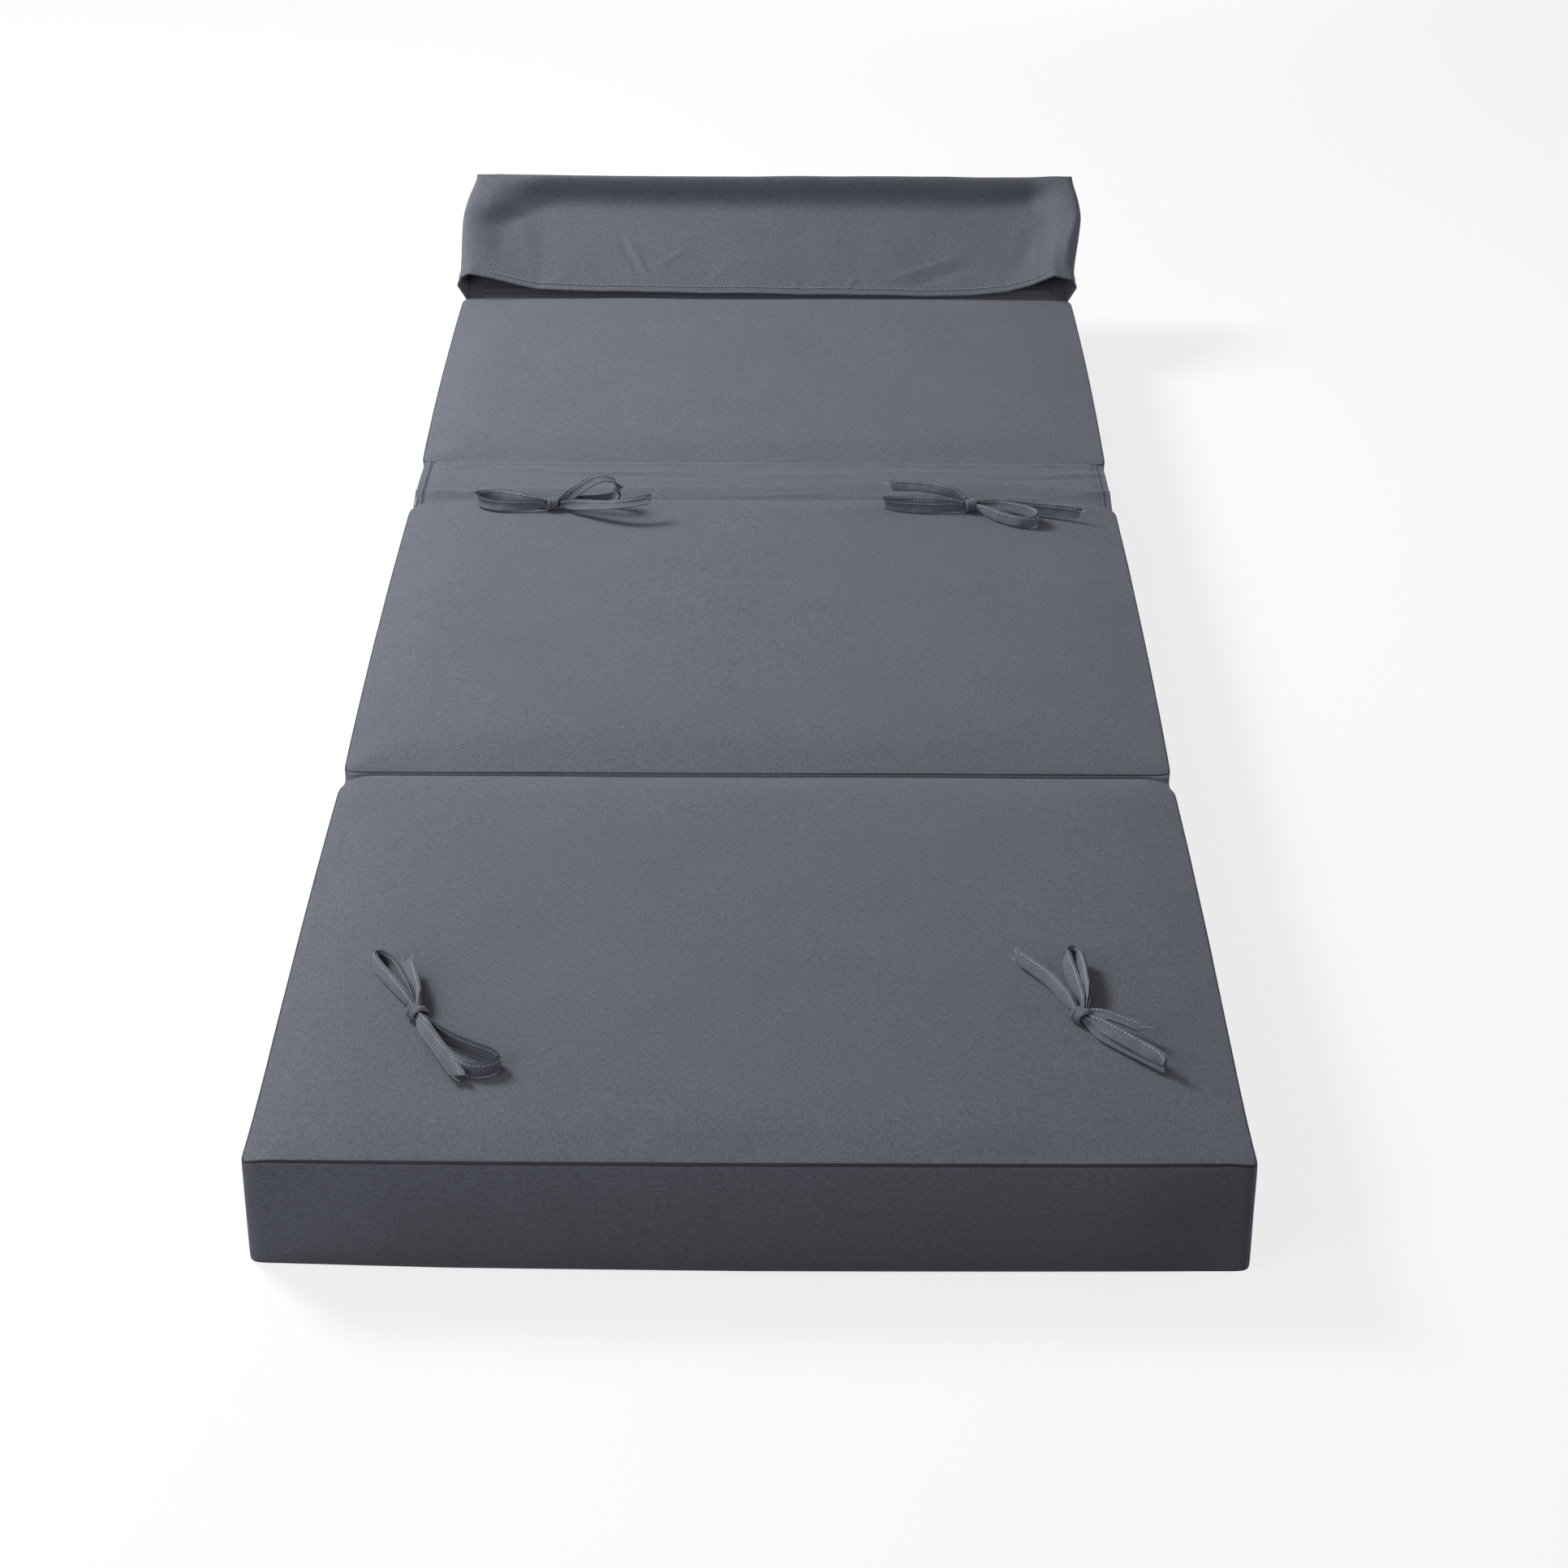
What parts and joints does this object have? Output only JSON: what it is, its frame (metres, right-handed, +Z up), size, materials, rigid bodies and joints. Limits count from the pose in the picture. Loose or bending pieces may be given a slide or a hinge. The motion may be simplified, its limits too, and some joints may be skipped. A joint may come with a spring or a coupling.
{
  "type": "futon mattress",
  "caption": "Folding chair-bed futon mattress: foam panels in zipped woven covers joined by cloth hinges, with an open end hood and cloth ties tied in bows.",
  "frame": {"origin": "on the floor under the middle of the opened mattress with its hood", "axes": "+Y from the front panel to the hood, +Z up to the tie side, +X to the right seen from the front panel"},
  "size_m": [0.816, 2.0594, 0.2215],
  "materials": {
    "cover_cloth": "matte",
    "foam": "matte",
    "tie_tape": "matte",
    "tack_thread": "matte",
    "zip_tape": "matte",
    "zip_coil": "satin",
    "zip_metal": "satin"
  },
  "bodies": {
    "middle_panel": {"middle_foam_core": "foam", "middle_tie_face": "cover_cloth", "middle_sleep_face": "cover_cloth", "middle_boxing": "cover_cloth", "middle_zip_tapes": "zip_tape", "middle_zip_coil": "zip_coil", "middle_zip_stops": "zip_metal", "fold_tape": "cover_cloth", "tie_middle_left": "tie_tape", "tie_middle_right": "tie_tape", "tie_tacks_middle": "tack_thread"},
    "front_panel": {"front_foam_core": "foam", "front_tie_face": "cover_cloth", "front_sleep_face": "cover_cloth", "front_boxing": "cover_cloth", "front_zip_tapes": "zip_tape", "front_zip_coil": "zip_coil", "front_zip_stops": "zip_metal", "tie_front_left": "tie_tape", "tie_front_right": "tie_tape", "tie_tacks_front": "tack_thread"},
    "bridge": {"bridge_strip": "cover_cloth"},
    "back_panel": {"back_foam_core": "foam", "back_tie_face": "cover_cloth", "back_sleep_face": "cover_cloth", "back_boxing": "cover_cloth", "back_zip_tapes": "zip_tape", "back_zip_coil": "zip_coil", "back_zip_stops": "zip_metal"},
    "hood": {"hood_lower": "cover_cloth", "hood_upper": "cover_cloth", "hood_gusset_left": "cover_cloth", "hood_gusset_right": "cover_cloth", "hood_end": "cover_cloth"},
    "front_slider": {"front_zip_slider": "zip_metal"},
    "front_pull": {"front_zip_pull": "zip_metal"},
    "middle_slider": {"middle_zip_slider": "zip_metal"},
    "middle_pull": {"middle_zip_pull": "zip_metal"},
    "back_slider": {"back_zip_slider": "zip_metal"},
    "back_pull": {"back_zip_pull": "zip_metal"}
  },
  "joints": [
    {"name": "front_fold", "type": "hinge", "parent": "middle_panel", "child": "front_panel", "pos_m": [0, -0.40574, 0.106], "axis": [-1, 0, 0], "range_deg": [0, 180], "deforming": ["tie_front_left", "tie_front_right", "tie_middle_left", "tie_middle_right"]},
    {"name": "bridge_fold", "type": "hinge", "parent": "middle_panel", "child": "bridge", "pos_m": [0, 0.22226, 0.1], "axis": [1, 0, 0], "range_deg": [0, 90]},
    {"name": "back_fold", "type": "hinge", "parent": "bridge", "child": "back_panel", "pos_m": [0, 0.33876, 0.1], "axis": [1, 0, 0], "range_deg": [-90, 90]},
    {"name": "hood_fold", "type": "hinge", "parent": "back_panel", "child": "hood", "pos_m": [0, 0.87056, 0.1], "axis": [-1, 0, 0], "range_deg": [-60, 115]},
    {"name": "front_zip_run", "type": "slide", "parent": "front_panel", "child": "front_slider", "axis": [0, 1, 0], "range_m": [0, 0.4818]},
    {"name": "front_pull_flip", "type": "hinge", "parent": "front_slider", "child": "front_pull", "pos_m": [0.4039, -0.96064, 0.05], "axis": [0, 0, -1], "range_deg": [0, 175]},
    {"name": "middle_zip_run", "type": "slide", "parent": "middle_panel", "child": "middle_slider", "axis": [0, 1, 0], "range_m": [0, 0.4818]},
    {"name": "middle_pull_flip", "type": "hinge", "parent": "middle_slider", "child": "middle_pull", "pos_m": [0.4039, -0.32864, 0.05], "axis": [0, 0, -1], "range_deg": [0, 175]},
    {"name": "back_zip_run", "type": "slide", "parent": "back_panel", "child": "back_slider", "axis": [0, 1, 0], "range_m": [0, 0.3918]},
    {"name": "back_pull_flip", "type": "hinge", "parent": "back_slider", "child": "back_pull", "pos_m": [0.4039, 0.40936, 0.05], "axis": [0, 0, -1], "range_deg": [0, 175]}
  ]
}
